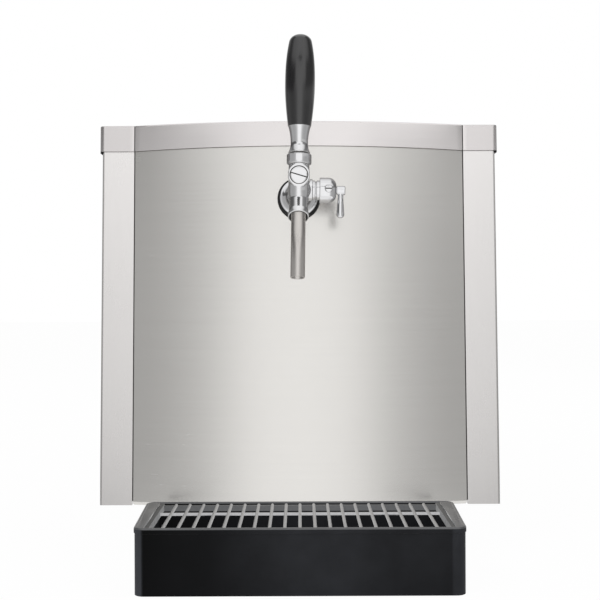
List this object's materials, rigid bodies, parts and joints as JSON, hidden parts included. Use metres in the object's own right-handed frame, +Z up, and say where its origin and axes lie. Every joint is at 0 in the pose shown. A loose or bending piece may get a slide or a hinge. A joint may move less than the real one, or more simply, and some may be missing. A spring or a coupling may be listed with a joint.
{
  "type": "draft beer dispenser",
  "caption": "Countertop draft beer cooler with a leaning bowed steel front, chrome tap with a black handle and flow lever, and a black drip tray with a wire grille.",
  "frame": {"origin": "on the counter, under the middle of the whole object with its tray and rear fittings", "axes": "+Z up, -Y towards the person who pulls the tap, +X to that person's right"},
  "size_m": [0.425, 0.613, 0.5304],
  "materials": {
    "brushed_steel": "fine vertical grain, satin",
    "chrome": "polished",
    "stainless": "satin",
    "black_gloss": "gloss",
    "black_plastic": "fine grained, satin",
    "rubber": "matte",
    "grille_steel": "dark satin",
    "zinc": "zinc plated",
    "copper": "drawn copper tube",
    "black_paint": "semi gloss",
    "foam": "skinned foam",
    "aluminium": "mill finish",
    "white_plastic": "satin",
    "beer_hose": "milky, semi clear"
  },
  "bodies": {
    "cabinet": {"base_pan": "zinc", "legs": "black_plastic", "foot_pads": "rubber", "side_wall_left": "brushed_steel", "side_wall_right": "brushed_steel", "front_panel": "brushed_steel", "seam_seals": "rubber", "rear_panel": "zinc", "panel_screws": "zinc", "lid_seal": "rubber", "bath_insulation": "foam", "bath_tank": "stainless", "bath_cover": "black_plastic", "evaporator_coil": "copper", "beer_coil": "stainless", "agitator_motor": "black_paint", "compressor": "black_paint", "compressor_mounts": "rubber", "condenser": "aluminium", "fan_shroud": "zinc", "fan_motor": "black_paint", "filter_dryer": "copper", "refrigerant_lines": "copper", "thermostat": "black_plastic", "power_switch": "black_plastic", "mains_inlet": "black_plastic", "beer_inlet": "chrome", "beer_line_in": "beer_hose", "beer_line_out": "beer_hose", "drain_stub": "stainless", "tap_gasket": "rubber", "rosette": "chrome", "shank": "stainless", "shank_nut": "chrome", "tap_body": "chrome", "front_plug": "chrome", "collar_nut": "chrome", "lever_pin": "stainless", "compensator_housing": "chrome", "compensator_screw": "chrome", "spout_tube": "stainless", "spout_seal": "rubber", "tray_bracket": "zinc"},
    "lid": {"lid": "brushed_steel"},
    "tap_lever": {"lever_stem": "stainless", "ferrule": "chrome", "handle": "black_gloss"},
    "valve": {"piston": "white_plastic", "piston_seal": "rubber"},
    "compensator": {"compensator_lever": "chrome"},
    "flow_cone": {"compensator_cone": "white_plastic"},
    "tray": {"drip_tray": "black_plastic"},
    "grille": {"drip_grille": "grille_steel"},
    "fan": {"fan_blade": "aluminium"},
    "agitator": {"agitator_shaft": "stainless"},
    "knob": {"thermostat_knob": "black_plastic"},
    "rocker_switch": {"rocker": "black_gloss"},
    "drain_plug": {"drain_cap": "black_plastic"},
    "bath_filler": {"filler_cap": "black_plastic"}
  },
  "joints": [
    {"name": "tap_pull", "type": "hinge", "parent": "cabinet", "child": "tap_lever", "pos_m": [0.00034, -0.21431, 0.3983], "axis": [0.9999, -0.001, -0.0157], "range_deg": [0, 22]},
    {"name": "valve_slide", "type": "slide", "parent": "cabinet", "child": "valve", "axis": [0, 0.9979, -0.0645], "range_m": [0, 0.0036]},
    {"name": "flow_adjust", "type": "hinge", "parent": "cabinet", "child": "compensator", "pos_m": [0.04192, -0.19569, 0.3764], "axis": [0.9999, -0.001, -0.0157], "range_deg": [-90, 90]},
    {"name": "cone_slide", "type": "slide", "parent": "cabinet", "child": "flow_cone", "axis": [0, 0.9979, -0.0645], "range_m": [-0.0034, 0.0034]},
    {"name": "tray_slide", "type": "slide", "parent": "cabinet", "child": "tray", "axis": [0, -1, 0], "range_m": [0, 0.12]},
    {"name": "grille_lift", "type": "slide", "parent": "tray", "child": "grille", "axis": [0, 0, 1], "range_m": [0, 0.06]},
    {"name": "lid_lift", "type": "slide", "parent": "cabinet", "child": "lid", "axis": [0, 0, 1], "range_m": [0, 0.09]},
    {"name": "fan_spin", "type": "hinge", "parent": "cabinet", "child": "fan", "pos_m": [0.098, 0.2213, 0.1428], "axis": [0, 1, 0], "continuous": true},
    {"name": "agitator_spin", "type": "hinge", "parent": "cabinet", "child": "agitator", "pos_m": [0, -0.0265, 0.2], "axis": [0, 0, 1], "continuous": true},
    {"name": "thermostat_turn", "type": "hinge", "parent": "cabinet", "child": "knob", "pos_m": [-0.092, 0.2885, 0.3524], "axis": [0, 1, 0], "range_deg": [-150, 150]},
    {"name": "switch_rock", "type": "hinge", "parent": "cabinet", "child": "rocker_switch", "pos_m": [-0.15, 0.2725, 0.3524], "axis": [1, 0, 0], "range_deg": [-14, 0]},
    {"name": "drain_pull", "type": "slide", "parent": "cabinet", "child": "drain_plug", "axis": [0, 1, 0], "range_m": [0, 0.02]},
    {"name": "filler_lift", "type": "slide", "parent": "cabinet", "child": "bath_filler", "axis": [0, 0, 1], "range_m": [0, 0.03]}
  ],
  "couplings": [
    {"joint": "valve_slide", "follows": "tap_pull", "m_per_rad": 0.0093},
    {"joint": "cone_slide", "follows": "flow_adjust", "m_per_rad": 0.00215}
  ]
}
